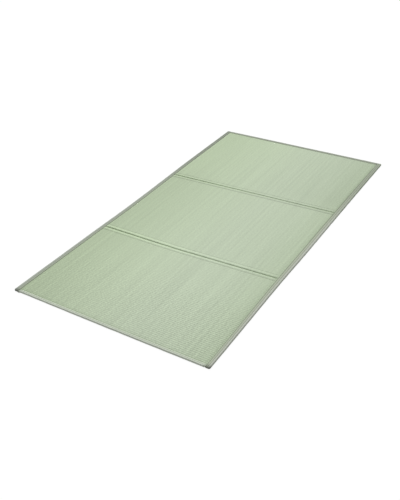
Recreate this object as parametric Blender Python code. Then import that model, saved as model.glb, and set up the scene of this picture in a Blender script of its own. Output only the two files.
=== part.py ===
"""A three-fold tatami mat, opened out and lying flat.

One woven rush mat in three panels, and four strips of binding cloth folded round its edges. The mat is
pressed thin under the bindings. The strips on the long sides go over the ends of the strips on the short
ends. Across is u, from the left side, and along is v, from the near end. The finished mat is centred on
the origin, with +Y along it, +X to its right and its underside at Z = 0.
"""

import math

import bmesh
import bpy
from mathutils import Vector

# The whole mat, in metres.
WIDTH = 0.95
LENGTH = 1.80
THICK = 0.008

# The outline is not quite straight: how far each side is drawn in at distances from the near end, with an
# easy curve between them, and how far the near end is drawn in at its corners.
LEFT_SIDE = ((0.00, 0.0020), (0.45, 0.0049), (0.78, 0.0087), (1.42, 0.0007), (1.80, 0.0000))
RIGHT_SIDE = ((0.00, 0.0006), (0.56, 0.0042), (0.85, 0.0022), (1.35, 0.0020), (1.80, 0.0000))
NEAR_BOW = 0.0014

# The binding cloth, and how much of each strip lies on top of the mat.
CLOTH = 0.0012
GAP = 0.0003
LEFT_STRIP = 0.023
RIGHT_STRIP = 0.023
NEAR_STRIP = 0.016
FAR_STRIP = 0.019
FOLDED_EDGE = 0.0030
TURNED_IN = 0.0015
CORNER = 0.0080
CORNER_STEPS = 4

# Where the end strips are tucked under the side strips.
TUCK_IN = 0.0040
TUCK_EDGE = 0.0015
TUCK_DROP = CLOTH + GAP
TUCK_RISE = 0.0010

# The woven mat between the folds, and where it steps up beside a strip.
PANEL_TOP = 0.0078
STEP_AFTER = 0.0009
STEP_LONG = 0.0015

# Fold lines: share of the width from the left, distance from the near end.
NEAR_FOLD = ((0.00, 0.5785), (0.45, 0.5785), (1.00, 0.5965))
FAR_FOLD = ((0.00, 1.1742), (0.50, 1.1892), (1.00, 1.2042))

# Section through a fold: distance from the fold line, height of the top, height of the underside.
FOLD_SECTION = (
    (0.0000, 0.0042, 0.0012),
    (0.0015, 0.0056, 0.0006),
    (0.0040, 0.0073, 0.0000),
    (0.0090, 0.0080, 0.0000),
    (0.0170, 0.0079, 0.0000),
    (0.0210, 0.0071, 0.0000),
    (0.0250, 0.0078, 0.0000),
)

# Shares of the width and of a panel's length where the mat and the strips have an extra section.
ACROSS = (0.15, 0.30, 0.45, 0.60, 0.75, 0.90)
ALONG = (0.17, 0.34, 0.50, 0.66, 0.83)
STRIP_SECTIONS = 24

# Colours as sRGB hex, roughness.
RUSH_GREEN = (0xBB, 0xC7, 0xAF)
RUSH_ROUGHNESS = 0.85
BINDING_GREY = (0xA2, 0xA9, 0x98)
BINDING_ROUGHNESS = 0.9


def clear_scene():
    for old in list(bpy.data.objects):
        bpy.data.objects.remove(old, do_unlink=True)


def to_linear(channel):
    share = channel / 255
    if share <= 0.04045:
        return share / 12.92
    return ((share + 0.055) / 1.055) ** 2.4


def fabric(name, rgb, roughness):
    material = bpy.data.materials.new(name)
    material.use_nodes = True
    shader = material.node_tree.nodes["Principled BSDF"]
    shader.inputs["Base Color"].default_value = (*(to_linear(c) for c in rgb), 1.0)
    shader.inputs["Roughness"].default_value = roughness
    shader.inputs["Metallic"].default_value = 0.0
    return material


def on_table(table, at):
    """The second column of a table, read in a straight line between its rows."""
    for (a, low), (b, high) in zip(table, table[1:]):
        if at <= b:
            return low + (high - low) * (at - a) / (b - a)
    return table[-1][1]


def on_curve(table, at):
    """The second column of a table, read along a curve that is level at each of its rows."""
    for (a, low), (b, high) in zip(table, table[1:]):
        if at <= b:
            part = max(at - a, 0.0) / (b - a)
            return low + (high - low) * part * part * (3 - 2 * part)
    return table[-1][1]


def lay(u, v, z):
    """A point of the straight mat, laid where the real outline puts it."""
    across = u / WIDTH
    to_corner = (2 * across - 1) ** 2
    x = u + on_curve(LEFT_SIDE, v) * (1 - across) - on_curve(RIGHT_SIDE, v) * across
    y = v + to_corner * NEAR_BOW * (1 - v / LENGTH)
    return Vector((x - WIDTH / 2, y - LENGTH / 2, z))


def finish_object(name, bm, material, at, parent):
    """A mesh object whose origin is the point `at` of the laid mat."""
    bmesh.ops.recalc_face_normals(bm, faces=bm.faces)
    bmesh.ops.translate(bm, verts=bm.verts, vec=-at)
    mesh = bpy.data.meshes.new(name)
    bm.to_mesh(mesh)
    bm.free()
    obj = bpy.data.objects.new(name, mesh)
    obj.location = at
    obj.parent = parent
    if material:
        mesh.materials.append(material)
    bpy.context.scene.collection.objects.link(obj)
    return obj


def mat_rows():
    """Rows of the mat from the near end to the far end: a function of the share across, and a height rule."""

    def end_row(distance):
        return lambda share: distance

    def fold_row(fold, offset):
        return lambda share: on_table(fold, share) + offset

    def between(before, after, part):
        return lambda share: before(share) + (after(share) - before(share)) * part

    def fold_rows(fold):
        rows = []
        for offset, top, under in reversed(FOLD_SECTION[1:]):
            rows.append((fold_row(fold, -offset), "open", top, under))
        for offset, top, under in FOLD_SECTION:
            rows.append((fold_row(fold, offset), "open", top, under))
        return rows

    near_step = NEAR_STRIP + STEP_AFTER
    far_step = LENGTH - FAR_STRIP - STEP_AFTER
    blocks = [
        [
            (end_row(FOLDED_EDGE), "edge", PANEL_TOP, 0.0),
            (end_row(near_step), "covered", PANEL_TOP, 0.0),
            (end_row(near_step + STEP_LONG), "open", PANEL_TOP, 0.0),
        ],
        fold_rows(NEAR_FOLD),
        fold_rows(FAR_FOLD),
        [
            (end_row(far_step - STEP_LONG), "open", PANEL_TOP, 0.0),
            (end_row(far_step), "covered", PANEL_TOP, 0.0),
            (end_row(LENGTH - FOLDED_EDGE), "edge", PANEL_TOP, 0.0),
        ],
    ]
    rows = list(blocks[0])
    for block in blocks[1:]:
        before = rows[-1][0]
        for part in ALONG:
            rows.append((between(before, block[0][0], part), "open", PANEL_TOP, 0.0))
        rows += block
    return rows


def mat_columns():
    """Columns of the mat from left to right: distance across, and what lies over it."""

    def side(strip):
        step = strip + STEP_AFTER
        tuck = strip + GAP + TUCK_RISE + CLOTH + TUCK_DROP
        return [
            (FOLDED_EDGE, "covered"),
            (step, "covered"),
            (step + STEP_LONG, "beside"),
            (tuck, "beside"),
            (tuck + TUCK_DROP, "open"),
        ]

    columns = side(LEFT_STRIP)
    columns += [(share * WIDTH, "open") for share in ACROSS]
    columns += [(WIDTH - u, kind) for u, kind in reversed(side(RIGHT_STRIP))]
    return columns


def mat_point(column, row):
    """Where a column crosses a row: place across, place along, underside and top."""
    u, sideways = column
    place, endways, top, under = row
    v = place(u / WIDTH)
    layers = (sideways == "covered") + (endways != "open")
    if endways != "open" and sideways == "beside":
        layers = 2
    if endways == "edge" and sideways != "open":
        inward = TUCK_IN + CLOTH + GAP - FOLDED_EDGE
        v += inward if v < LENGTH / 2 else -inward
    if layers:
        under = layers * TUCK_DROP
        top = THICK - layers * TUCK_DROP
    return u, v, under, top


def woven_mat(material, parent):
    """The rush mat: a grid for its top and one for its underside, closed by a rim."""
    rows = mat_rows()
    columns = mat_columns()
    bm = bmesh.new()
    tops = []
    unders = []
    for row in rows:
        points = [mat_point(column, row) for column in columns]
        tops.append([bm.verts.new(lay(u, v, top)) for u, v, under, top in points])
        unders.append([bm.verts.new(lay(u, v, under)) for u, v, under, top in points])
    for j in range(len(rows) - 1):
        for i in range(len(columns) - 1):
            for grid in (tops, unders):
                bm.faces.new((grid[j][i], grid[j][i + 1], grid[j + 1][i + 1], grid[j + 1][i]))
    last_j = len(rows) - 1
    last_i = len(columns) - 1
    rim = [(0, i) for i in range(last_i)]
    rim += [(j, last_i) for j in range(last_j)]
    rim += [(last_j, i) for i in range(last_i, 0, -1)]
    rim += [(j, 0) for j in range(last_j, 0, -1)]
    for (j, i), (n, m) in zip(rim, rim[1:] + rim[:1]):
        bm.faces.new((tops[j][i], tops[n][m], unders[n][m], unders[j][i]))
    return finish_object("woven_mat", bm, material, Vector((0, 0, 0)), parent)


def strip_loop(outer, inner, low, high, edge, towards):
    """Section of a folded strip: rounded on its outer side, square on its inner one.

    `outer` and `inner` are distances from the mat's side or end. `towards` gives the laid point for a
    distance and a height.
    """
    diagonal = edge * (1 - math.sqrt(0.5))
    return [
        towards(inner, low),
        towards(outer + edge, low),
        towards(outer + diagonal, low + diagonal),
        towards(outer, low + edge),
        towards(outer, high - edge),
        towards(outer + diagonal, high - diagonal),
        towards(outer + edge, high),
        towards(inner, high),
    ]


def loft(loops):
    """A closed body through sections that all have the same number of points."""
    bm = bmesh.new()
    rings = [[bm.verts.new(point) for point in loop] for loop in loops]
    bm.faces.new(rings[0])
    bm.faces.new(rings[-1])
    for before, after in zip(rings, rings[1:]):
        for k in range(len(before)):
            n = (k + 1) % len(before)
            bm.faces.new((before[k], before[n], after[n], after[k]))
    return bm


def hollow(name, solid, channel, material, at, parent):
    """The strip's body with the channel for the mat cut out of it."""
    strip = finish_object(name, solid, material, at, parent)
    cutter = finish_object("cut_" + name, channel, None, at, parent)
    cutter.hide_render = True
    cutter.display_type = "WIRE"
    cut = strip.modifiers.new("channel", "BOOLEAN")
    cut.operation = "DIFFERENCE"
    cut.solver = "EXACT"
    cut.object = cutter
    return strip


def corner_stations(radius, start):
    """Round one corner of a strip's plan: distance along from the end, and how far the outer side is in."""
    stations = []
    for step in range(CORNER_STEPS + 1):
        turn = math.pi / 2 * step / CORNER_STEPS
        stations.append((start + radius * (1 - math.cos(turn)), start + radius * (1 - math.sin(turn))))
    return stations


def side_strip(name, width, from_right, material, parent):
    """A long strip, its ends rounded and turned in over the ends of the short ones."""

    def laid(v):
        def towards(distance, z):
            return lay(WIDTH - distance if from_right else distance, v, z)

        return towards

    def sections(start, inner, low, edge, end_drop):
        near = corner_stations(CORNER - start, start)
        far = [(LENGTH - v, outer) for v, outer in reversed(near)]
        run = LENGTH - 2 * CORNER
        middle = [(CORNER + run * k / STRIP_SECTIONS, start) for k in range(1, STRIP_SECTIONS)]
        loops = []
        for v, outer in near + middle + far:
            at_end = min(v, LENGTH - v) <= start
            drop = end_drop if at_end else 0.0
            loops.append(strip_loop(outer, inner, low + drop, THICK - low - drop, edge - drop, laid(v)))
        return loops

    solid = loft(sections(0.0, width, 0.0, FOLDED_EDGE, TURNED_IN))
    channel = loft(sections(CLOTH, width + CORNER, CLOTH, FOLDED_EDGE - CLOTH, 0.0))
    middle = laid(LENGTH / 2)(0.0, 0.0)
    return hollow(name, solid, channel, material, middle, parent)


def end_strip(name, width, from_far, material, parent):
    """A short strip: full height between the side strips, and tucked under them at both ends."""

    def laid(u):
        def towards(distance, z):
            return lay(u, LENGTH - distance if from_far else distance, z)

        return towards

    def sections(cloth, rise_at, rise, past_end, inner):
        first = LEFT_STRIP + rise_at
        last = WIDTH - RIGHT_STRIP - rise_at
        tucked = (TUCK_IN + cloth, TUCK_DROP + cloth, TUCK_EDGE - cloth)
        full = (cloth, cloth, FOLDED_EDGE - cloth)
        stations = [(TUCK_IN - past_end, tucked), (first, tucked), (first + rise, full)]
        stations += [(share * WIDTH, full) for share in ACROSS]
        stations += [(last - rise, full), (last, tucked), (WIDTH - TUCK_IN + past_end, tucked)]
        return [
            strip_loop(outer, inner, low, THICK - low, edge, laid(u)) for u, (outer, low, edge) in stations
        ]

    solid = loft(sections(0.0, GAP, TUCK_RISE, 0.0, width))
    channel = loft(sections(CLOTH, GAP + TUCK_RISE + GAP, TUCK_DROP, CLOTH, width + CORNER))
    middle = laid(WIDTH / 2)(0.0, 0.0)
    return hollow(name, solid, channel, material, middle, parent)


clear_scene()
whole = bpy.data.objects.new("tatami_mat", None)
bpy.context.scene.collection.objects.link(whole)
rush = fabric("woven_rush", RUSH_GREEN, RUSH_ROUGHNESS)
binding = fabric("binding_cloth", BINDING_GREY, BINDING_ROUGHNESS)
woven_mat(rush, whole)
end_strip("binding_near", NEAR_STRIP, False, binding, whole)
end_strip("binding_far", FAR_STRIP, True, binding, whole)
side_strip("binding_left", LEFT_STRIP, False, binding, whole)
side_strip("binding_right", RIGHT_STRIP, True, binding, whole)
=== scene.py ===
"""The looks of a three-fold tatami mat: woven rush, four folded binding tapes and their stitching.

Each piece is modelled straight, as it comes off the cutting table, in mat coordinates: u across from the
left side, v along from the near end, and z up. `lay` then puts every point where the mat really lies.
"""

import math

import bpy
import numpy as np
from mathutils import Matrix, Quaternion, Vector


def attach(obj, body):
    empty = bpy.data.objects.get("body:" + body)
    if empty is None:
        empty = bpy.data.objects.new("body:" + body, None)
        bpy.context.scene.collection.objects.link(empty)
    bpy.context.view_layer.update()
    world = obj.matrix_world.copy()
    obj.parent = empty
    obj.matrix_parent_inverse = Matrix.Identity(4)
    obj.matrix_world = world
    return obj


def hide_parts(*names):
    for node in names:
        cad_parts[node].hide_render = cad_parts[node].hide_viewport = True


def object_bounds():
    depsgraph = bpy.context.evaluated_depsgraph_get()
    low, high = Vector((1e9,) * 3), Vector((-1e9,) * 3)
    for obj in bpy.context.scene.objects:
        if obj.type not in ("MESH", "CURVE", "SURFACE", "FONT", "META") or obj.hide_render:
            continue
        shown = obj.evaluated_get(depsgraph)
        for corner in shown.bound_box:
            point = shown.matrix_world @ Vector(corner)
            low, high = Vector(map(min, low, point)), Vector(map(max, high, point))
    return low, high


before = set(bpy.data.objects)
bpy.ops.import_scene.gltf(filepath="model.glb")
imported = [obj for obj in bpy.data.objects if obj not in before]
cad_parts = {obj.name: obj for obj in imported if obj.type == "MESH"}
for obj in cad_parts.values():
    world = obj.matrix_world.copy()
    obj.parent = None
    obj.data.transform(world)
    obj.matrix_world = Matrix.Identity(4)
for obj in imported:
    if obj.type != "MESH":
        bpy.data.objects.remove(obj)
cad_low, cad_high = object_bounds()
bpy.ops.object.select_all(action="DESELECT")

# The woven mat
# One cloth of pale green rush over a thin pressed filling. The stalks lie across the mat and are beaten
# into ribs, which warp strings bind in half-drop rows. Two folds cross it, a little askew, and a sewn line
# runs on either side of each. The mat is pressed thin all round, where the binding is folded over it.

WIDTH = round(cad_high.x - cad_low.x, 3)
LENGTH = round(cad_high.y - cad_low.y, 3)

# How far the sides are drawn in from a straight edge at places along the mat, and how far the near end is
# drawn in at its corners.
LEFT_SIDE = ((0.00, 0.0020), (0.45, 0.0049), (0.78, 0.0087), (1.42, 0.0007), (1.80, 0.0000))
RIGHT_SIDE = ((0.00, 0.0006), (0.56, 0.0042), (0.85, 0.0022), (1.35, 0.0020), (1.80, 0.0000))
NEAR_BOW = 0.0014

# How much of each binding shows on top: the same all along, or by places along or across the mat.
LEFT_STRIP = 0.023
NEAR_STRIP = 0.016
RIGHT_STRIP = ((0.00, 0.0195), (0.90, 0.0257), (1.80, 0.0232))
FAR_STRIP = ((0.00, 0.0178), (0.95, 0.0205))

# Where each fold runs: share of the way across, place along.
NEAR_FOLD = ((0.00, 0.5785), (0.45, 0.5785), (1.00, 0.5965))
FAR_FOLD = ((0.00, 1.1742), (0.50, 1.1892), (1.00, 1.2042))

# The weave: from rib to rib and from warp string to warp string, how far each lifts or dips the surface,
# where a rib has its points, and how far from a strip the relief has grown to its full height.
RIB = 0.0098
WARP = 0.00695
RIB_DEPTH = 0.00042
WARP_DIP = 0.00004
RIB_POINTS = (0.0, 0.27, 0.73)
RELIEF_GROWS = 0.003
STALKS_IN_RIB = 7

# How far a fold reaches on either side, how many ribs lie in it, and where its sewn lines are.
FOLD_REACH = 0.025
FOLD_RIBS = 5
SEWN_LINE = 0.0215

# The mat's edge inside the tapes: how far in it stops, how far under a strip it is pressed thin, its top
# and underside there, and over what width the open mat rounds up from it.
MAT_EDGE = 0.0035
PRESSED_FROM = 0.001
PRESSED_TOP = 0.0060
PRESSED_UNDER = 0.0016
PILLOW = 0.013

# Section through a fold: distance from the fold line, height of the top. The same for the underside.
FOLD_TOP = (
    (0.0000, 0.0038),
    (0.0010, 0.0048),
    (0.0020, 0.0067),
    (0.0035, 0.0079),
    (0.0055, 0.0084),
    (0.0080, 0.0085),
    (0.0110, 0.0084),
    (0.0145, 0.0082),
    (0.0190, 0.0077),
    (SEWN_LINE, 0.0065),
    (0.0235, 0.0076),
    (FOLD_REACH, 0.0078),
)
FOLD_UNDER = ((0.0000, 0.0012), (0.0040, 0.0000), (FOLD_REACH, 0.0000))


def on_table(table, at):
    """The second column of a table, read between its rows."""
    return np.interp(at, [row[0] for row in table], [row[1] for row in table])


def on_curve(table, at):
    """The second column of a table, read along a curve that is level at each of its rows."""
    places, values = np.transpose(table)
    row = np.clip(np.searchsorted(places, at, "right") - 1, 0, len(places) - 2)
    part = np.clip((at - places[row]) / (places[row + 1] - places[row]), 0, 1)
    return values[row] + (values[row + 1] - values[row]) * part * part * (3 - 2 * part)


def lay(u, v, z):
    """Points of the straight mat, laid where the real outline puts them."""
    across = u / WIDTH
    x = u + on_curve(LEFT_SIDE, v) * (1 - across) - on_curve(RIGHT_SIDE, v) * across
    y = v + (2 * across - 1) ** 2 * NEAR_BOW * (1 - v / LENGTH)
    return np.stack([x - WIDTH / 2, y - LENGTH / 2, z], axis=-1)


def waves(u, v, lengths, seed):
    """A smooth, uneven surface from -1 to 1: a few long waves of these lengths in random directions."""
    random = np.random.default_rng(seed)
    total = 0
    for length in lengths:
        turn, start = random.uniform(0, 2 * math.pi, 2)
        total = total + np.sin(2 * math.pi * (u * math.cos(turn) + v * math.sin(turn)) / length + start)
    return total / len(lengths)


def past_fold(u, v):
    """How far a point is past the nearer fold line, below zero on the line's near side."""
    near = v - on_table(NEAR_FOLD, u / WIDTH)
    far = v - on_table(FAR_FOLD, u / WIDTH)
    return np.where(np.abs(near) < np.abs(far), near, far)


def from_strip(u, v):
    """How far a point is from the inner edge of the nearest strip, below zero under the strip."""
    sides = np.minimum(u - LEFT_STRIP, WIDTH - on_curve(RIGHT_STRIP, v) - u)
    ends = np.minimum(v - NEAR_STRIP, LENGTH - on_table(FAR_STRIP, u) - v)
    return np.minimum(sides, ends)


def rib_strength(u, v):
    """How strongly the ribs stand out: most at the near end of the mat, on its right."""
    near = np.clip((0.50 - v) / 0.25, 0, 1)
    right = np.clip((u - 0.30) / 0.45, 0, 1)
    return 0.52 + near * (0.24 + 0.82 * right)


def mat_top(u, v):
    """Height of the mat's top, without the weave."""
    inside = from_strip(u, v)
    pillow = np.sqrt(np.clip(1 - (1 - np.clip(inside / PILLOW, 0, 1)) ** 2, 0, 1))
    top = on_table(FOLD_TOP, np.abs(past_fold(u, v)))
    top = top + 0.0002 * waves(u, v, (0.31, 0.23, 0.17, 0.47), 3)
    open_top = PRESSED_TOP + (top - PRESSED_TOP) * (0.25 + 0.75 * pillow)
    return np.where(inside < 0, PRESSED_TOP, open_top)


def mat_under(u, v):
    """Height of the mat's underside."""
    under = on_table(FOLD_UNDER, np.abs(past_fold(u, v)))
    return np.where(from_strip(u, v) < 0, PRESSED_UNDER, under)


def along_rows():
    """Rows of the mat from near to far: the lines before and after each row, its share of the way between
    them, and its rib."""
    near_end = ((0.0, NEAR_STRIP), (1.0, NEAR_STRIP))
    far_end = tuple((u / WIDTH, LENGTH - strip) for u, strip in FAR_STRIP)
    lines = [near_end]
    for fold in (NEAR_FOLD, FAR_FOLD):
        lines.append(tuple((share, v - FOLD_REACH) for share, v in fold))
        lines.append(tuple((share, v + FOLD_REACH) for share, v in fold))
    lines.append(far_end)
    rows = []
    rib = 0
    for k, (before, after) in enumerate(zip(lines, lines[1:])):
        if k % 2:
            sides = [offset for offset, _ in FOLD_TOP[:-1]]
            offsets = [-offset for offset in reversed(sides[1:])] + sides
            steps = [(offset + FOLD_REACH) / (2 * FOLD_REACH) for offset in offsets]
            ribs = FOLD_RIBS
        else:
            middle = np.mean([v for _, v in after]) - np.mean([v for _, v in before])
            ribs = round(middle / RIB)
            steps = [(b + part) / ribs for b in range(ribs) for part in RIB_POINTS]
        rows += [(before, after, step, rib + step * ribs) for step in steps]
        rib += ribs
    rows.append((before, after, 1.0, rib))
    return rows


def grid_mesh(points):
    """Adds a grid and moves its vertices to points, an array (along, across, 3)."""
    along, across, _ = points.shape
    bpy.ops.mesh.primitive_grid_add(x_subdivisions=across - 1, y_subdivisions=along - 1, size=2)
    piece = bpy.context.object
    flat = np.empty(len(piece.data.vertices) * 3)
    piece.data.vertices.foreach_get("co", flat)
    flat = flat.reshape(-1, 3)
    i = np.rint((flat[:, 0] + 1) / 2 * (across - 1)).astype(int)
    j = np.rint((flat[:, 1] + 1) / 2 * (along - 1)).astype(int)
    piece.data.vertices.foreach_set("co", points[j, i].ravel())
    piece.data.update()
    return piece, i, j


def add_uv(piece, name, per_vertex):
    """A UV map from one pair of numbers for each vertex."""
    loops = np.empty(len(piece.data.loops), int)
    piece.data.loops.foreach_get("vertex_index", loops)
    layer = piece.data.uv_layers.new(name=name)
    layer.data.foreach_set("uv", per_vertex[loops].ravel())


def with_margins(grid, left, right, near, far):
    """The grid with a column or row more on each side, made from the one beside it."""
    grid = np.concatenate([left(grid[:, :1]), grid, right(grid[:, -1:])], axis=1)
    return np.concatenate([near(grid[:1]), grid, far(grid[-1:])], axis=0)


def under_strips(u, v):
    """The open mat's grid, run on under the strips to the mat's own edge."""
    u = with_margins(u, lambda e: e - PRESSED_FROM, lambda e: e + PRESSED_FROM, np.copy, np.copy)
    v = with_margins(v, np.copy, np.copy, lambda e: e - PRESSED_FROM, lambda e: e + PRESSED_FROM)
    u = with_margins(u, lambda e: 0 * e + MAT_EDGE, lambda e: 0 * e + WIDTH - MAT_EDGE, np.copy, np.copy)
    v = with_margins(v, np.copy, np.copy, lambda e: 0 * e + MAT_EDGE, lambda e: 0 * e + LENGTH - MAT_EDGE)
    return u, v


rows = along_rows()
warps = round((WIDTH - 2 * LEFT_STRIP) / WARP)
u_rows = []
v_rows = []
for before, after, step, _ in rows:
    middle = on_table(before, 0.5) * (1 - step) + on_table(after, 0.5) * step
    u = np.linspace(LEFT_STRIP, WIDTH - on_curve(RIGHT_STRIP, middle), warps + 1)
    u_rows.append(u)
    v_rows.append(on_table(before, u / WIDTH) * (1 - step) + on_table(after, u / WIDTH) * step)
u_grid, v_grid = under_strips(np.stack(u_rows), np.stack(v_rows))
warp_grid = np.tile(np.arange(warps + 1.0), (len(rows), 1))
rib_grid = np.tile(np.array([row[3] for row in rows])[:, None], (1, warps + 1))

# The weave runs on by this share of a rib and of a warp, twice, to the mat's own edge under the tapes.
HIDDEN = 0.3
for _ in range(2):
    warp_grid = with_margins(warp_grid, lambda e: e - HIDDEN, lambda e: e + HIDDEN, np.copy, np.copy)
    rib_grid = with_margins(rib_grid, np.copy, np.copy, lambda e: e - HIDDEN, lambda e: e + HIDDEN)

strength = rib_strength(u_grid, v_grid)
round_rib = np.abs(np.sin(math.pi * rib_grid)) ** 0.6
half_drop = np.cos(math.pi * warp_grid) * np.clip(3 * np.sin(math.pi * rib_grid), -1, 1)
uneven = 1 + 0.35 * waves(u_grid * 3, v_grid, (0.05, 0.083, 0.031), 8)
relief = RIB_DEPTH * strength * uneven * (round_rib - 0.6) + WARP_DIP * half_drop
relief = relief * np.clip(from_strip(u_grid, v_grid) / RELIEF_GROWS, 0, 1)
rush_mat, i, j = grid_mesh(lay(u_grid, v_grid, mat_top(u_grid, v_grid) + relief))
rush_mat.name = "rush_mat"
add_uv(rush_mat, "weave", np.stack([warp_grid[j, i], rib_grid[j, i]], axis=1))
add_uv(rush_mat, "marks", np.stack([past_fold(u_grid, v_grid)[j, i], strength[j, i]], axis=1))

# The underside, coarser than the top.
UNDER_ROWS = 181
UNDER_COLUMNS = 41
under_u = []
under_v = np.linspace(NEAR_STRIP, LENGTH - on_table(FAR_STRIP, WIDTH / 2), UNDER_ROWS)
for v in under_v:
    under_u.append(np.linspace(LEFT_STRIP, WIDTH - on_curve(RIGHT_STRIP, v), UNDER_COLUMNS))
under_u, under_v = under_strips(np.stack(under_u), np.tile(under_v[:, None], (1, UNDER_COLUMNS)))
underside, i, j = grid_mesh(lay(under_u, under_v, mat_under(under_u, under_v)))
add_uv(underside, "weave", np.stack([under_u[j, i] / WARP, under_v[j, i] / RIB], axis=1))
add_uv(underside, "marks", np.stack([past_fold(under_u, under_v)[j, i], 1 + 0 * under_u[j, i]], axis=1))
rush_mat.select_set(True)
bpy.context.view_layer.objects.active = rush_mat
bpy.ops.object.join()
bpy.ops.object.mode_set(mode="EDIT")
bpy.ops.mesh.select_mode(type="EDGE")
bpy.ops.mesh.select_all(action="DESELECT")
bpy.ops.mesh.select_non_manifold()
bpy.ops.mesh.bridge_edge_loops()
bpy.ops.mesh.select_all(action="SELECT")
bpy.ops.mesh.normals_make_consistent(inside=False)
bpy.ops.object.mode_set(mode="OBJECT")
bpy.ops.object.shade_smooth()


def colour(hexes):
    """An sRGB hex colour such as "BFCBB4" as linear red, green, blue and 1."""
    shares = [int(hexes[k : k + 2], 16) / 255 for k in (0, 2, 4)]
    return (*(s / 12.92 if s <= 0.04045 else ((s + 0.055) / 1.055) ** 2.4 for s in shares), 1.0)


def add_node(tree, kind, links, **settings):
    """Adds a node with its settings, and fills its inputs with values or with other nodes' outputs."""
    made = tree.nodes.new("ShaderNode" + kind)
    for name, value in settings.items():
        setattr(made, name, value)
    for socket, value in links.items():
        if isinstance(value, bpy.types.Node):
            value = next(out for out in value.outputs if out.enabled)
        if isinstance(value, bpy.types.NodeSocket):
            tree.links.new(value, made.inputs[socket])
        else:
            made.inputs[socket].default_value = value
    return made


# Woven rush: dried green stalks, laid across the mat and beaten close. The eye sees pale green, the ribs
# with painted shade in the line between them and a painted highlight on their crests, fine dashes where
# single stalks are brighter or darker, streaks along the mat, and more green towards the stalks' ends at
# the sides. Where the mat is folded, a painted highlight lies on the crests and painted shade in the sewn
# lines. The stalks lie 1.4 mm apart, seven to a rib, and their dashes are drawn about three times as
# coarse, so that they show.
woven_rush = bpy.data.materials.new("woven_rush")
woven_rush.use_nodes = True
tree = woven_rush.node_tree
shader = tree.nodes["Principled BSDF"]
shader.inputs["Roughness"].default_value = 0.62
shader.inputs["Specular IOR Level"].default_value = 0.35
uv = add_node(tree, "UVMap", {}, uv_map="weave")
marks = add_node(tree, "SeparateXYZ", {0: add_node(tree, "UVMap", {}, uv_map="marks")})
place = add_node(tree, "TexCoord", {}).outputs["Object"]
sides = add_node(tree, "SeparateXYZ", {0: place})
near_part = add_node(tree, "MapRange", {0: sides.outputs["Y"], 1: -0.65, 2: -0.45, 3: 1.0, 4: 0.0})
shades = []

# The ribs: painted shade in the groove between them and a painted highlight on their crests, stronger where
# the ribs stand out more.
rib_place = add_node(tree, "SeparateXYZ", {0: uv}).outputs["Y"]
rib_wave = add_node(tree, "Math", {0: rib_place, 1: math.pi}, operation="MULTIPLY")
rib_wave = add_node(tree, "Math", {0: rib_wave}, operation="SINE")
rib_wave = add_node(tree, "Math", {0: rib_wave}, operation="ABSOLUTE")
rib_painted_shading = add_node(tree, "MapRange", {0: rib_wave, 1: 0.0, 2: 0.9, 3: -0.15, 4: 0.06})
rib_painted_shading = add_node(tree, "Math", {0: rib_painted_shading, 1: marks.outputs["Y"]}, operation="MULTIPLY")
shades.append(add_node(tree, "Math", {0: rib_painted_shading, 1: 1.0}, operation="ADD"))

# The dashes of single stalks, stronger in the near panel.
dash_place = add_node(tree, "Mapping", {0: uv, 3: (0.8, 2.4, 1.0)})
dashes = add_node(
    tree, "TexNoise", {"Vector": dash_place, "Scale": 1.0, "Detail": 2.0}, noise_dimensions="2D"
)
dash_tone = add_node(tree, "MapRange", {0: dashes, 1: 0.25, 2: 0.75, 3: -0.095, 4: 0.095})
dash_size = add_node(tree, "MapRange", {0: near_part, 1: 0.0, 2: 1.0, 3: 1.0, 4: 1.8})
dash_tone = add_node(tree, "Math", {0: dash_tone, 1: dash_size}, operation="MULTIPLY")
shades.append(add_node(tree, "Math", {0: dash_tone, 1: 1.0}, operation="ADD"))

# The streaks along the mat, where warp strings have drawn the stalks together a little more or less.
streak_place = add_node(tree, "Mapping", {0: place, 3: (80.0, 1.3, 1.0)})
streaks = add_node(
    tree, "TexNoise", {"Vector": streak_place, "Scale": 1.0, "Detail": 2.0}, noise_dimensions="2D"
)
streak_tone = add_node(tree, "MapRange", {0: streaks, 1: 0.25, 2: 0.75, 3: -0.05, 4: 0.05})
streak_tone = add_node(tree, "Math", {0: streak_tone, 1: dash_size}, operation="MULTIPLY")
shades.append(add_node(tree, "Math", {0: streak_tone, 1: 1.0}, operation="ADD"))

# The mat is duller towards its near end and its sides, the left one most, but in the far panel the right one.
shades.append(add_node(tree, "MapRange", {0: sides.outputs["Y"], 1: -0.9, 2: -0.5, 3: 0.92, 4: 1.0}))
shades.append(add_node(tree, "MapRange", {0: sides.outputs["Y"], 1: 0.4, 2: 0.8, 3: 1.0, 4: 1.03}))
shades.append(add_node(tree, "MapRange", {0: sides.outputs["X"], 1: -0.46, 2: -0.10, 3: 0.82, 4: 0.975}))
shades.append(add_node(tree, "MapRange", {0: sides.outputs["X"], 1: 0.28, 2: 0.45, 3: 1.0, 4: 0.94}))
far_panel = add_node(tree, "MapRange", {0: sides.outputs["Y"], 1: 0.25, 2: 0.40, 3: 0.0, 4: 1.0})
far_tone = add_node(tree, "MapRange", {0: sides.outputs["X"], 1: -0.4, 2: 0.4, 3: 0.06, 4: -0.08})
shades.append(add_node(tree, "Math", {0: far_tone, 1: far_panel, 2: 1.0}, operation="MULTIPLY_ADD"))
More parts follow.
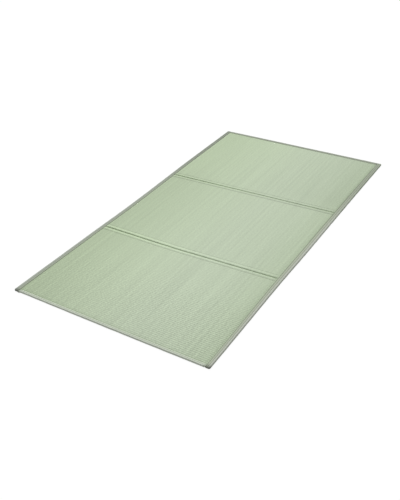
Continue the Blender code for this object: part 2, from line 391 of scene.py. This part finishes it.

# The crests, 12 mm to either side of a line 1.5 mm past a fold, carry a painted highlight, palest at the near
# fold, and the sewn lines carry painted shade, which shows most at the far fold and on the near side of each.
far_part = add_node(tree, "MapRange", {0: sides.outputs["Y"], 1: -0.1, 2: 0.1, 3: 0.0, 4: 1.0})
fold_way = add_node(tree, "Math", {0: marks.outputs["X"]}, operation="ABSOLUTE")
crest = add_node(tree, "Math", {0: marks.outputs["X"], 1: 0.0015}, operation="SUBTRACT")
crest = add_node(tree, "Math", {0: crest}, operation="ABSOLUTE")
crest = add_node(tree, "Math", {0: crest, 1: 0.0120}, operation="SUBTRACT")
crest = add_node(tree, "Math", {0: crest}, operation="ABSOLUTE")
crest = add_node(tree, "MapRange", {0: crest, 1: 0.002, 2: 0.010, 3: 1.0, 4: 0.0})
crest_highlight = add_node(tree, "MapRange", {0: sides.outputs["X"], 1: -0.3, 2: 0.42, 3: 0.24, 4: 0.05})
crest_less = add_node(tree, "MapRange", {0: far_part, 1: 0.0, 2: 1.0, 3: 1.0, 4: 0.3})
crest_highlight = add_node(tree, "Math", {0: crest_highlight, 1: crest_less}, operation="MULTIPLY")
crest = add_node(tree, "Math", {0: crest, 1: crest_highlight}, operation="MULTIPLY")
shades.append(add_node(tree, "Math", {0: crest, 1: 1.0}, operation="ADD"))
# Painted shade in the troughs of the sewn lines, deepest on the near side of each fold and at the far fold.
sewn = add_node(tree, "Math", {0: fold_way, 1: SEWN_LINE}, operation="SUBTRACT")
sewn = add_node(tree, "Math", {0: sewn}, operation="ABSOLUTE")
sewn = add_node(tree, "MapRange", {0: sewn, 1: 0.0015, 2: 0.0045, 3: 1.0, 4: 0.0})
sewn_shade = add_node(tree, "MapRange", {0: marks.outputs["X"], 1: -0.005, 2: 0.005, 3: 0.14, 4: 0.0})
sewn_shade = add_node(tree, "Math", {0: far_part, 1: 0.10, 2: sewn_shade}, operation="MULTIPLY_ADD")
sewn = add_node(tree, "Math", {0: sewn, 1: sewn_shade}, operation="MULTIPLY")
shades.append(add_node(tree, "Math", {0: 1.0, 1: sewn}, operation="SUBTRACT"))

# The green of the stalks, deeper away from a line 20 cm right of the middle, times all the shades.
side = add_node(tree, "Math", {0: sides.outputs["X"], 1: 0.20}, operation="SUBTRACT")
side = add_node(tree, "Math", {0: side}, operation="ABSOLUTE")
greener = add_node(tree, "MapRange", {0: side, 1: 0.10, 2: 0.70, 3: 0.0, 4: 1.0})
base = add_node(tree, "Mix", {0: greener, 6: colour("B8C7AB"), 7: colour("B0C49C")}, data_type="RGBA")
shade = shades[0]
for other in shades[1:]:
    shade = add_node(tree, "Math", {0: shade, 1: other}, operation="MULTIPLY")
tinted = add_node(tree, "VectorMath", {0: base.outputs[2], "Scale": shade}, operation="SCALE")
tree.links.new(tinted.outputs[0], shader.inputs["Base Color"])

# The roundness of each stalk, with the dashes, as fine relief.
stalk_place = add_node(tree, "Math", {0: rib_place, 1: 2 * math.pi * STALKS_IN_RIB}, operation="MULTIPLY")
stalk_round = add_node(tree, "Math", {0: stalk_place}, operation="SINE")
height = add_node(tree, "Math", {0: stalk_round, 1: 0.3, 2: dashes}, operation="MULTIPLY_ADD")
bump = add_node(tree, "Bump", {"Strength": 0.4, "Distance": 0.0003, "Height": height})
tree.links.new(bump.outputs["Normal"], shader.inputs["Normal"])
rush_mat.data.materials.append(woven_rush)
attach(rush_mat, "root")
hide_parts("woven_mat")

# The binding tapes
# Plain-woven grey-green cotton tape, folded lengthwise round the edge of the mat with both its edges
# turned under, and sewn through. The tapes on the short ends go on first. The ones on the long sides
# cover their ends, and have their own ends folded in.

THICK = round(cad_high.z - cad_low.z, 4)
CLOTH = 0.0010
WEAVE_REPEAT = 0.0012

# The round of the outer fold, how far the tape slopes down to its inner edge, and how uneven it is.
EDGE_ROUND = 0.0032
SLOPE_IN = 0.0009
PUCKER = 0.00022
WAVER = 0.0004

# The corners of a side tape, and over what length its end closes. How far in and down an end tape is tucked.
CORNER = 0.0080
CLOSE_OVER = 0.0035
TUCK_IN = 0.0040
TUCK_DROP = 0.0015

# From one station along a tape to the next, and the length of a tape's near tip, which is darkened as painted
# shade.
STATION = 0.006
TIP = 0.016

# Where each tape is sewn through, as a share of the width that shows, from the outer fold.
NEAR_SEAM = 0.53
FAR_SEAM = 0.61
LEFT_SEAM = 0.52
RIGHT_SEAM = 0.48

# The bump in the near tape, and how far the left tape's near end stands proud and over what length.
BUMP_AT = 0.026
BUMP_OUT = 0.0042
BUMP_WIDE = 0.0045
PROUD_END = 0.0018
PROUD_OVER = 0.012


def strip_section(width, seam):
    """Points round a folded tape, from its inner edge below to its inner edge on top: distance in, height."""
    top = THICK + 0.0001
    points = [(width, 0.0006), (width * 0.6, 0.0), (EDGE_ROUND, 0.0)]
    for turn in (30, 60, 90):
        a = math.radians(turn)
        points.append((EDGE_ROUND * (1 - math.sin(a)), EDGE_ROUND * (1 - math.cos(a))))
    for turn in (90, 60, 30, 0):
        a = math.radians(turn)
        points.append((EDGE_ROUND * (1 - math.sin(a)), top - EDGE_ROUND * (1 - math.cos(a))))
    points += [(seam * 0.5 + 0.001, top), (seam - 0.003, top - 0.0001), (seam - 0.0012, top - 0.0005)]
    points += [(seam, top - 0.0010), (seam + 0.0012, top - 0.0005), (seam + 0.003, top - 0.0003)]
    points += [(width - 0.0022, top - SLOPE_IN), (width - 0.0008, top - SLOPE_IN - 0.0002)]
    points += [(width, top - SLOPE_IN - 0.0009)]
    return np.array(points)


def cotton_tape(name, width, seam, outer, inner, far_end, edge_shade, fold_shade, tip_end):
    """Plain-woven cotton tape: matt, slightly greenish grey, with a fine weave and dye that has gone unevenly
    in patches. Painted shade darkens it towards the far end, along the inner edge, on the outer fold and at
    the near tip. The threads are 0.6 mm apart, so the plain weave repeats every 1.2 mm, and it is drawn as it
    is."""
    made = bpy.data.materials.new(name)
    made.use_nodes = True
    tree = made.node_tree
    shader = tree.nodes["Principled BSDF"]
    shader.inputs["Roughness"].default_value = 0.85
    shader.inputs["Specular IOR Level"].default_value = 0.3
    uv = add_node(tree, "UVMap", {}, uv_map="tape")
    split = add_node(tree, "SeparateXYZ", {0: uv})
    across = add_node(tree, "Math", {0: split.outputs["X"], 1: width}, operation="MULTIPLY")
    along = split.outputs["Y"]
    threads = []
    for side in (across, along):
        wave = add_node(tree, "Math", {0: side, 1: 2 * math.pi / WEAVE_REPEAT}, operation="MULTIPLY")
        threads.append(add_node(tree, "Math", {0: wave}, operation="SINE"))
    weave = add_node(tree, "Math", {0: threads[0], 1: threads[1]}, operation="MULTIPLY")
    weave_shade = add_node(tree, "MapRange", {0: weave, 1: -1.0, 2: 1.0, 3: 0.95, 4: 1.05})
    patch_place = add_node(tree, "Mapping", {0: uv, 3: (110.0, 22.0, 1.0)})
    patches = add_node(
        tree, "TexNoise", {"Vector": patch_place, "Scale": 1.0, "Detail": 3.0}, noise_dimensions="2D"
    )
    patch_shade = add_node(tree, "MapRange", {0: patches, 1: 0.25, 2: 0.75, 3: 0.93, 4: 1.07})
    # Painted shade along the inner edge, where the tape meets the mat.
    edge = add_node(tree, "MapRange", {0: across, 1: 0.0015, 2: 0.0045, 3: 1 - edge_shade, 4: 1.0})
    sewn = width * (1 - seam)
    line = add_node(tree, "Math", {0: across, 1: sewn}, operation="SUBTRACT")
    line = add_node(tree, "Math", {0: line}, operation="ABSOLUTE")
    line = add_node(tree, "MapRange", {0: line, 1: 0.0006, 2: 0.0020, 3: 0.76, 4: 1.0})
    # Painted shade on the outer fold.
    wear_and_shade = add_node(tree, "Math", {0: across, 1: width - 0.0008}, operation="SUBTRACT")
    wear_and_shade = add_node(tree, "Math", {0: wear_and_shade}, operation="ABSOLUTE")
    wear_and_shade = add_node(tree, "MapRange", {0: wear_and_shade, 1: 0.0012, 2: 0.0045, 3: 1 - fold_shade, 4: 1.0})
    # Painted shade on the near tip.
    tip_shade = add_node(tree, "MapRange", {0: along, 1: tip_end - TIP, 2: tip_end, 3: 0.45, 4: 1.0})
    hem = add_node(tree, "MapRange", {0: across, 1: sewn - 0.001, 2: sewn + 0.001, 3: 1.0, 4: 0.0})
    base = add_node(tree, "Mix", {0: hem, 6: colour(outer), 7: colour(inner)}, data_type="RGBA")
    # Painted shade towards the far end of a side tape.
    far = add_node(tree, "MapRange", {0: along, 1: 1.0, 2: 1.5, 3: 0.0, 4: 1.0})
    base = add_node(tree, "Mix", {0: far, 6: base.outputs[2], 7: colour(far_end)}, data_type="RGBA")
    shade = weave_shade
    for other in (patch_shade, edge, line, wear_and_shade, tip_shade):
        shade = add_node(tree, "Math", {0: shade, 1: other}, operation="MULTIPLY")
    tinted = add_node(tree, "VectorMath", {0: base.outputs[2], "Scale": shade}, operation="SCALE")
    tree.links.new(tinted.outputs[0], shader.inputs["Base Color"])
    bump = add_node(tree, "Bump", {"Strength": 0.5, "Distance": 0.0001, "Height": weave})
    tree.links.new(bump.outputs["Normal"], shader.inputs["Normal"])
    return made


def folded_tape(name, node_name, widths, seam, stations, put, seed):
    """A folded tape, from its section at stations along it; put lays out distance in, place along, height."""
    along, inward, close, low = np.array(stations).T[:, :, None]
    width = widths(along)
    section = np.stack([strip_section(w, seam * w) for w in width[:, 0]])
    distance = width - (width - section[:, :, 0]) * (width - inward) / width
    middle = THICK / 2
    height = middle + (section[:, :, 1] - middle) * close * (1 - 2 * low / THICK)
    puckers = waves(distance * 3, along, (0.019, 0.031, 0.013, 0.047), seed)
    on_top = np.clip((section[:, :, 1] - middle) / middle, 0, 1)
    height = height + PUCKER * puckers * on_top * close
    outer = np.clip(1 - distance / (3 * EDGE_ROUND), 0, 1)
    distance = distance + WAVER * waves(along, along, (0.21, 0.13, 0.09), seed + 1) * outer
    strip, i, j = grid_mesh(put(distance, along + 0 * distance, height))
    strip.name = name
    steps = np.linalg.norm(np.diff(section, axis=1), axis=2)[:, ::-1]
    inner = np.concatenate([0 * along, np.cumsum(steps, axis=1)], axis=1)[:, ::-1]
    add_uv(strip, "tape", np.stack([(inner / width)[j, i], along[j, 0]], axis=1))
    bpy.ops.object.mode_set(mode="EDIT")
    bpy.ops.mesh.select_all(action="SELECT")
    bpy.ops.mesh.normals_make_consistent(inside=False)
    bpy.ops.object.mode_set(mode="OBJECT")
    cloth = strip.modifiers.new("cloth", "SOLIDIFY")
    cloth.thickness = CLOTH
    cloth.offset = -1
    bpy.ops.object.modifier_apply(modifier=cloth.name)
    bpy.ops.object.shade_smooth()
    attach(strip, "root")
    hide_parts(node_name)
    return strip


def side_stations():
    """Stations of a side tape: place along, how far the corner is cut in, how far open, how far dropped."""
    near = []
    for turn in (0, 15, 30, 45, 60, 75, 90):
        a = math.radians(turn)
        v = CORNER * (1 - math.cos(a))
        close = math.sqrt(max(0.02, 1 - (1 - min(v / CLOSE_OVER, 1)) ** 2))
        near.append((v, CORNER * (1 - math.sin(a)), close, 0.0))
    run = np.arange(CORNER + STATION, LENGTH - CORNER - STATION / 2, STATION)
    far = [(LENGTH - v, inward, close, low) for v, inward, close, low in reversed(near)]
    return near + [(v, 0.0, 1.0, 0.0) for v in run] + far


def end_stations():
    """Stations of an end tape, tucked under the side tapes at both ends."""
    right_edge = WIDTH - RIGHT_STRIP[0][1]
    left = [(TUCK_IN, TUCK_IN, 1.0, TUCK_DROP), (LEFT_STRIP, TUCK_IN, 1.0, TUCK_DROP)]
    left += [(LEFT_STRIP + 0.0015, 0.0, 1.0, 0.0)]
    right = [(right_edge - 0.0045, 0.0, 1.0, 0.0), (right_edge - 0.003, TUCK_IN, 1.0, TUCK_DROP)]
    right += [(WIDTH - TUCK_IN, TUCK_IN, 1.0, TUCK_DROP)]
    run = np.arange(LEFT_STRIP + 0.0075, right_edge - 0.008, STATION)
    return left + [(u, 0.0, 1.0, 0.0) for u in run] + right


def put_near(d, a, z):
    """The near tape, with a little bump where the left tape's end is turned in."""
    return lay(a, d - BUMP_OUT * np.exp(-(((a - BUMP_AT) / BUMP_WIDE) ** 2)), z)


def put_far(d, a, z):
    """The far tape."""
    return lay(a, LENGTH - d, z)


def put_left(d, a, z):
    """The left tape, whose near end stands a little proud."""
    return lay(d, a - PROUD_END * np.exp(-a / PROUD_OVER), z)


def put_right(d, a, z):
    """The right tape."""
    return lay(WIDTH - d, a, z)


# Each tape's cotton: mean width, seam, the colours outside the seam, inside it and at the far end, how much
# painted shade darkens the inner edge and the outer fold, and where the tip with painted shade ends. The
# colours are one grey-green cotton, made lightest on the near tape, darkest on the far one and darker at the
# far ends of the side tapes as painted light and shade.
cottons = (
    cotton_tape("cotton_tape_near", 0.0160, NEAR_SEAM, "C9D1C1", "C5D0BA", "C9D1C1", 0.0, 0.20, 0.036),
    cotton_tape("cotton_tape_far", 0.0190, FAR_SEAM, "A3AA9B", "9FA895", "A3AA9B", 0.30, 0.0, 0.020),
    cotton_tape("cotton_tape_left", 0.0230, LEFT_SEAM, "A9AFA3", "A4AD9A", "939A8B", 0.46, 0.0, 0.020),
    cotton_tape("cotton_tape_right", 0.0235, RIGHT_SEAM, "B9BEB1", "AEB7A2", "9FA895", 0.60, 0.14, 0.020),
)

# Each tape: its name, the solid that it stands for, its width, its seam, its stations and its place.
end_rows = end_stations()
side_rows = side_stations()
tapes = (
    ("tape_near", "binding_near", lambda a: NEAR_STRIP + 0 * a, NEAR_SEAM, end_rows, put_near),
    ("tape_far", "binding_far", lambda a: on_table(FAR_STRIP, a), FAR_SEAM, end_rows, put_far),
    ("tape_left", "binding_left", lambda a: LEFT_STRIP + 0 * a, LEFT_SEAM, side_rows, put_left),
    ("tape_right", "binding_right", lambda a: on_curve(RIGHT_STRIP, a), RIGHT_SEAM, side_rows, put_right),
)
for seed, (tape, cotton) in enumerate(zip(tapes, cottons), 10):
    strip = folded_tape(*tape, seed)
    strip.data.materials.append(cotton)

# The stitching
# Polyester thread, sewn through everything by machine: a line on either side of each fold, and one through
# each tape, along its middle. The stitches are 4 mm long and the thread 0.6 mm thick.

STITCH = 0.0040
THREAD = 0.0006

# How much of its length a stitch shows on top, before the thread dips into the cloth.
STITCH_SHARE = 0.84

# Polyester sewing thread: a smooth twisted thread with a little sheen, greyer than the rush. Its twist
# repeats about every millimetre, and is drawn as it is.
polyester_thread = bpy.data.materials.new("polyester_thread")
polyester_thread.use_nodes = True
tree = polyester_thread.node_tree
shader = tree.nodes["Principled BSDF"]
shader.inputs["Roughness"].default_value = 0.5
place = add_node(tree, "TexCoord", {}).outputs["Object"]
twist = add_node(tree, "TexWave", {"Vector": place, "Scale": 600.0}, bands_direction="DIAGONAL")
wear_and_shade = add_node(tree, "TexNoise", {"Vector": place, "Scale": 60.0, "Detail": 2.0})
tone = add_node(tree, "Mix", {0: wear_and_shade, 6: colour("98A08D"), 7: colour("AAB29F")}, data_type="RGBA")
tree.links.new(tone.outputs[2], shader.inputs["Base Color"])
bump = add_node(tree, "Bump", {"Strength": 0.3, "Distance": 0.0001, "Height": twist})
tree.links.new(bump.outputs["Normal"], shader.inputs["Normal"])


def stitch_line(name, points):
    """A line of stitches along these points, made from one stitch, repeated and bent along a curve."""
    bpy.ops.object.select_all(action="DESELECT")
    path = bpy.data.curves.new(name + "_path", "CURVE")
    path.dimensions = "3D"
    run = path.splines.new("POLY")
    run.points.add(len(points) - 1)
    for knot, point in zip(run.points, points):
        knot.co = (*point, 1.0)
    line = bpy.data.objects.new(name + "_path", path)
    bpy.context.collection.objects.link(line)
    bpy.ops.mesh.primitive_uv_sphere_add(segments=6, ring_count=4, radius=1, rotation=(0, math.pi / 2, 0))
    stitch = bpy.context.object
    stitch.name = name
    stitch.scale = (THREAD / 2, THREAD / 2, STITCH_SHARE / 2 * STITCH)
    bpy.ops.object.transform_apply(location=True, rotation=True, scale=True)
    repeat = stitch.modifiers.new("repeat", "ARRAY")
    repeat.use_relative_offset = False
    repeat.use_constant_offset = True
    repeat.constant_offset_displace = (STITCH, 0, 0)
    repeat.count = int(np.linalg.norm(np.diff(points, axis=0), axis=1).sum() / STITCH)
    follow = stitch.modifiers.new("follow", "CURVE")
    follow.object = line
    bpy.ops.object.modifier_apply(modifier=repeat.name)
    bpy.ops.object.modifier_apply(modifier=follow.name)
    bpy.data.objects.remove(line)
    bpy.ops.object.shade_smooth()
    stitch.data.materials.append(polyester_thread)
    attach(stitch, "root")


for fold_name, fold in (("near_fold", NEAR_FOLD), ("far_fold", FAR_FOLD)):
    for side_name, sign in (("near_side", -1), ("far_side", 1)):
        u = np.linspace(LEFT_STRIP + 0.002, WIDTH - 0.030, 200)
        v = on_table(fold, u / WIDTH) + sign * SEWN_LINE
        stitch_line(fold_name + "_" + side_name, lay(u, v, mat_top(u, v) + 0.0002))
tape_top = THICK - 0.0007
v = np.linspace(0.012, LENGTH - 0.012, 300)
stitch_line("left_tape_stitches", lay(LEFT_SEAM * LEFT_STRIP + 0 * v, v, tape_top + 0 * v))
stitch_line("right_tape_stitches", lay(WIDTH - RIGHT_SEAM * on_curve(RIGHT_STRIP, v), v, tape_top + 0 * v))
u = np.linspace(LEFT_STRIP + 0.004, WIDTH - 0.024, 200)
stitch_line("near_tape_stitches", lay(u, NEAR_SEAM * NEAR_STRIP + 0 * u, tape_top + 0 * u))
stitch_line("far_tape_stitches", lay(u, LENGTH - FAR_SEAM * on_table(FAR_STRIP, u), tape_top + 0 * u))

# The floor, the light and the camera
# A plain white floor under soft studio light. One broad lamp stands behind the mat on its left. The floor
# and the background are washed out to white for the camera, so that only a trace of the mat's shadow shows.

bpy.ops.object.select_all(action="DESELECT")
bpy.ops.mesh.primitive_plane_add(size=60, location=(0, 0, -0.0003))
floor = bpy.context.object
floor.name = "floor"
white_floor = bpy.data.materials.new("white_floor")
white_floor.use_nodes = True
tree = white_floor.node_tree
shader = tree.nodes["Principled BSDF"]
shader.inputs["Base Color"].default_value = colour("E6E6E6")
shader.inputs["Roughness"].default_value = 0.9
shader.inputs["Specular IOR Level"].default_value = 0.0
seen = add_node(tree, "LightPath", {}).outputs["Is Camera Ray"]
washed = add_node(tree, "Math", {0: seen, 1: 0.9}, operation="MULTIPLY")
glow = add_node(tree, "Emission", {"Strength": 1.05})
wash = add_node(tree, "MixShader", {0: washed, 1: shader.outputs[0], 2: glow.outputs[0]})
tree.links.new(wash.outputs[0], tree.nodes["Material Output"].inputs["Surface"])
floor.data.materials.append(white_floor)

world = bpy.data.worlds.new("studio")
bpy.context.scene.world = world
world.use_nodes = True
world.node_tree.nodes["Background"].inputs["Color"].default_value = (1, 1, 1, 1)
seen = add_node(world.node_tree, "LightPath", {}).outputs["Is Camera Ray"]
strength = add_node(world.node_tree, "MapRange", {0: seen, 1: 0.0, 2: 1.0, 3: 0.45, 4: 1.0})
world.node_tree.links.new(strength.outputs[0], world.node_tree.nodes["Background"].inputs["Strength"])

bpy.ops.object.light_add(type="SUN", location=(-1.6, 2.2, 2.2))
lamp = bpy.context.object
lamp.name = "broad_lamp"
lamp.data.angle = math.radians(24)
lamp.data.energy = 2.5
lamp.rotation_euler = Vector((1.9, -2.1, -2.3)).to_track_quat("-Z", "Y").to_euler()

AZIMUTH = math.radians(32.99)
ELEVATION = math.radians(33.79)
ROLL = math.radians(-2.38)
AIM = Vector((0.0460, -0.2688, 0.0))
DISTANCE = 2.9983
back = Vector(
    (
        math.sin(AZIMUTH) * math.cos(ELEVATION),
        -math.cos(AZIMUTH) * math.cos(ELEVATION),
        math.sin(ELEVATION),
    )
)
bpy.ops.object.camera_add(location=AIM + back * DISTANCE)
camera = bpy.context.object
camera.name = "camera"
camera.rotation_mode = "QUATERNION"
camera.rotation_quaternion = (-back).to_track_quat("-Z", "Y") @ Quaternion((0, 0, 1), ROLL)
camera.data.lens = 48.38
camera.data.sensor_width = 36
bpy.context.scene.camera = camera
bpy.context.scene.view_settings.view_transform = "Standard"
